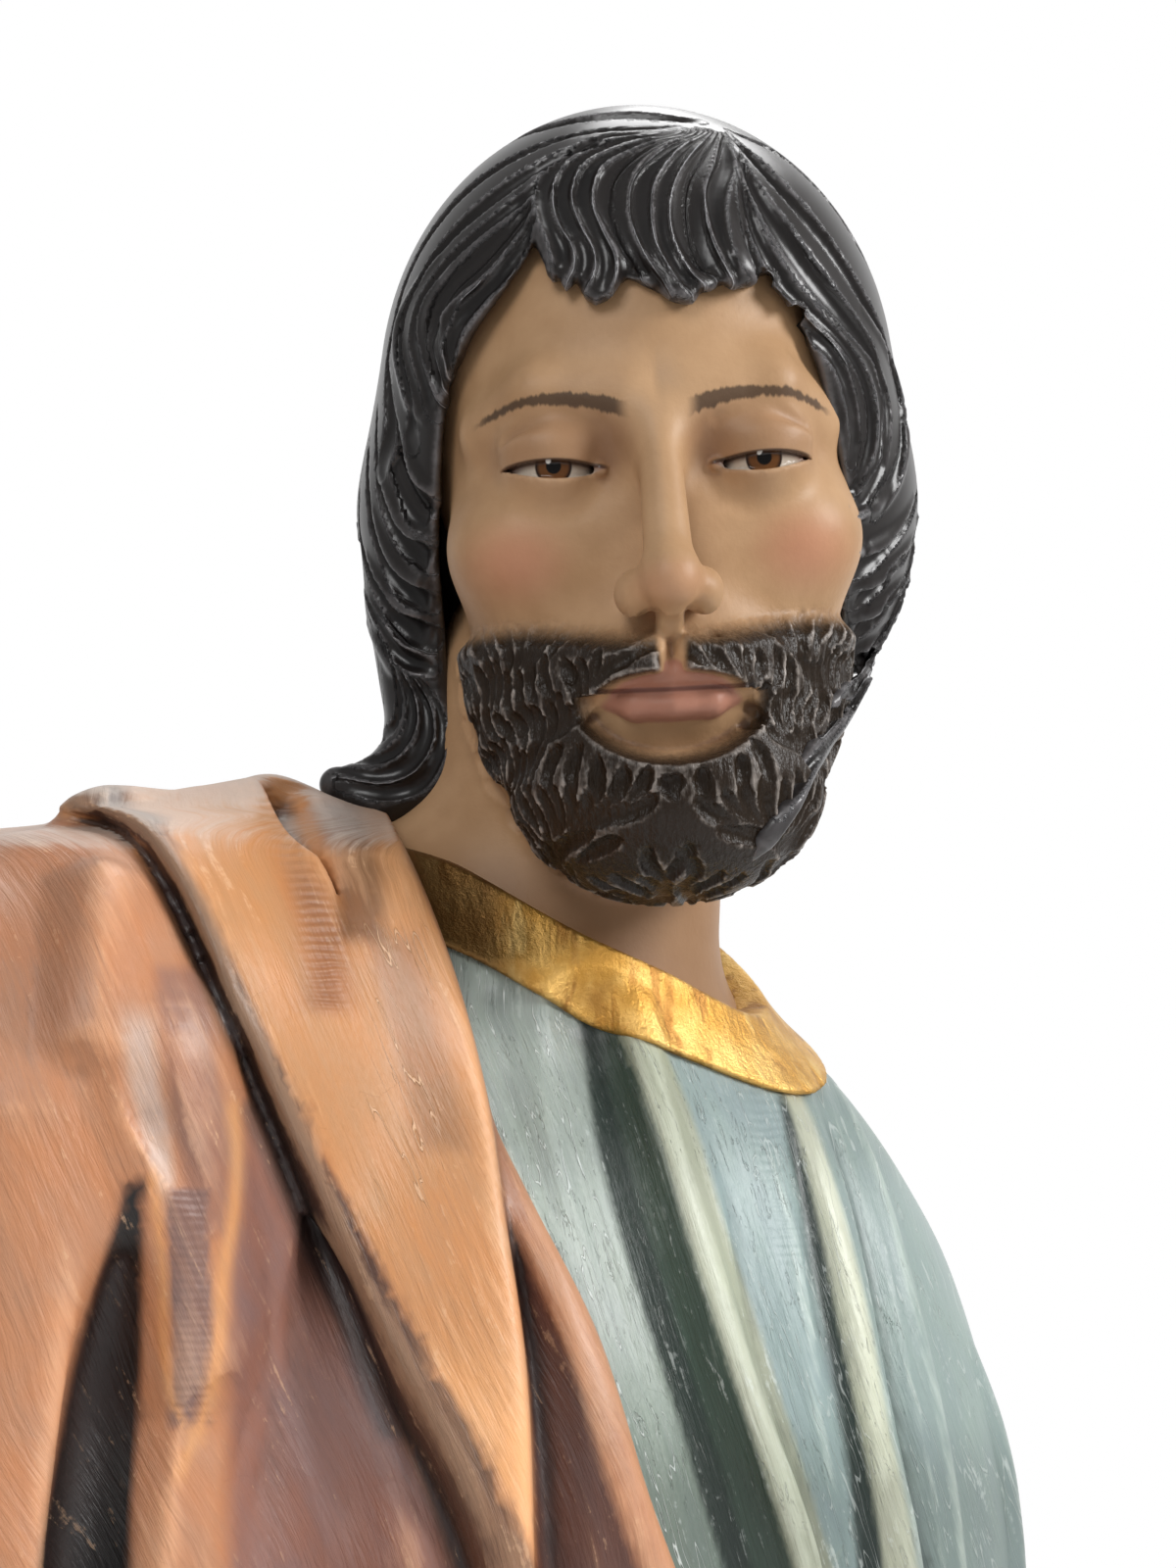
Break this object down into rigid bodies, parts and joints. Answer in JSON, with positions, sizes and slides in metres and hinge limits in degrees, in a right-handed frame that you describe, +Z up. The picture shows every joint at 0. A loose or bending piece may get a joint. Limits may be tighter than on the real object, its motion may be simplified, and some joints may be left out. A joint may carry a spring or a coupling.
{
  "type": "saint joseph bust statue",
  "caption": "Carved and painted wooden bust of a bearded saint with long hair, a gilt-collared tunic and a mantle over the right shoulder, cut flat below to stand.",
  "frame": {"origin": "centre of the bounding box at the flat sawn underside, where the bust stands", "axes": "+Z up, the chest faces -Y, the saint's left is +X; the head is turned to the saint's right"},
  "size_m": [0.4688, 0.2612, 0.6014],
  "materials": {
    "hair": "near-black brown oil paint, glossy, brushed lighter on the ridges",
    "skin": "satin flesh-coloured oil paint",
    "gilt": "burnished leaf gilding",
    "tunic": "grey-green oil paint, satin, pale on the ridges",
    "mantle": "ochre-brown oil paint, satin, dark in the hollows"
  },
  "bodies": {
    "root": {"bust": "mantle"}
  },
  "joints": []
}
